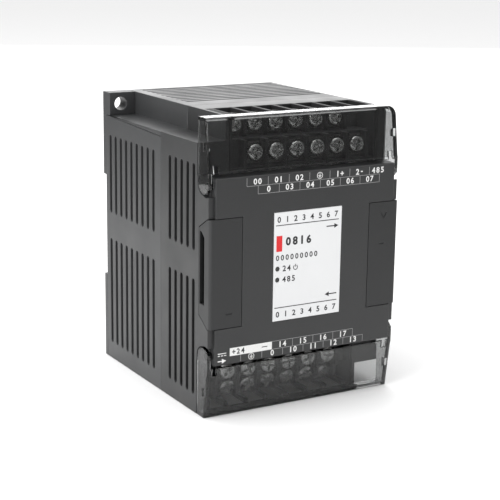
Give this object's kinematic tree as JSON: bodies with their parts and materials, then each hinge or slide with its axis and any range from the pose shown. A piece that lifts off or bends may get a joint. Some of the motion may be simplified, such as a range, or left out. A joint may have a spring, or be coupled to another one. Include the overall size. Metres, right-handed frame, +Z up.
{
  "type": "rail-mounted input and output module",
  "caption": "Rail-mounted control module with ventilated housing, hinged clear terminal covers, removable port covers and a sprung rail latch.",
  "frame": {"origin": "centre of the underside, on the plane it stands on", "axes": "+X to the right seen from the front, +Y from the front panel towards the wall, +Z up"},
  "size_m": [0.069, 0.077, 0.0939],
  "materials": {
    "housing_plastic": "fine moulded grain",
    "panel_plastic": "fine moulded grain",
    "port_plastic": "fine moulded grain",
    "smoked_clear": "clear smoked, polished",
    "label_white": "printed film",
    "lamp_lens": "clear lens, unlit",
    "terminal_plastic": "satin moulding",
    "plated_steel": "zinc plated",
    "contact_brass": "bare brass",
    "tinned_brass": "dull tin plate over brass",
    "circuit_board": "solder resist",
    "chip_black": "moulded epoxy",
    "connector_black": "satin moulding",
    "relay_blue": "moulded case",
    "ferrite": "sintered ferrite",
    "copper_winding": "enamelled wire",
    "capacitor_sleeve": "shrink sleeve",
    "ceramic_white": "plain ceramic",
    "latch_plastic": "satin moulding",
    "spring_steel": "drawn wire"
  },
  "bodies": {
    "housing": {"rear_housing": "housing_plastic", "front_housing": "panel_plastic", "upper_back_plate": "housing_plastic", "lower_back_plate": "housing_plastic", "label_card": "label_white", "light_guides": "lamp_lens", "upper_terminal_block": "terminal_plastic", "lower_terminal_block": "terminal_plastic", "upper_terminal_screws": "plated_steel", "lower_terminal_screws": "plated_steel", "upper_clamp_washers": "plated_steel", "lower_clamp_washers": "plated_steel", "upper_contacts": "tinned_brass", "lower_contacts": "tinned_brass", "main_board": "circuit_board", "io_board": "circuit_board", "power_board": "circuit_board", "processor": "chip_black", "clock_crystal": "plated_steel", "serial_driver": "chip_black", "indicator_lamps": "lamp_lens", "left_bus_header": "connector_black", "right_bus_header": "connector_black", "left_bus_pins": "contact_brass", "right_bus_pins": "contact_brass", "signal_link": "connector_black", "power_link": "connector_black", "output_relays": "relay_blue", "input_couplers": "chip_black", "transformer_core": "ferrite", "transformer_winding": "copper_winding", "filter_capacitors": "capacitor_sleeve", "input_fuse": "ceramic_white", "voltage_regulator": "chip_black", "long_spacers": "contact_brass", "short_spacers": "contact_brass", "board_screws": "plated_steel", "housing_screws": "plated_steel", "latch_spring": "spring_steel"},
    "upper_cover": {"upper_terminal_cover": "smoked_clear"},
    "lower_cover": {"lower_terminal_cover": "smoked_clear"},
    "left_port_lid": {"left_port_cover": "port_plastic"},
    "right_port_lid": {"right_port_cover": "port_plastic"},
    "latch": {"din_latch": "latch_plastic"}
  },
  "joints": [
    {"name": "upper_cover_hinge", "type": "hinge", "parent": "housing", "child": "upper_cover", "pos_m": [0, -0.0356, 0.0733], "axis": [1, 0, 0], "range_deg": [0, 105]},
    {"name": "lower_cover_hinge", "type": "hinge", "parent": "housing", "child": "lower_cover", "pos_m": [0, -0.0356, 0.0202], "axis": [-1, 0, 0], "range_deg": [0, 105]},
    {"name": "left_port_pull", "type": "slide", "parent": "housing", "child": "left_port_lid", "axis": [0, -1, 0], "range_m": [0, 0.02]},
    {"name": "right_port_pull", "type": "slide", "parent": "housing", "child": "right_port_lid", "axis": [0, -1, 0], "range_m": [0, 0.02]},
    {"name": "latch_slide", "type": "slide", "parent": "housing", "child": "latch", "axis": [0, 0, -1], "range_m": [0, 0.0035], "stiffness_N_per_m": 600, "springref_m": -0.002, "deforming": ["latch_spring"]}
  ]
}
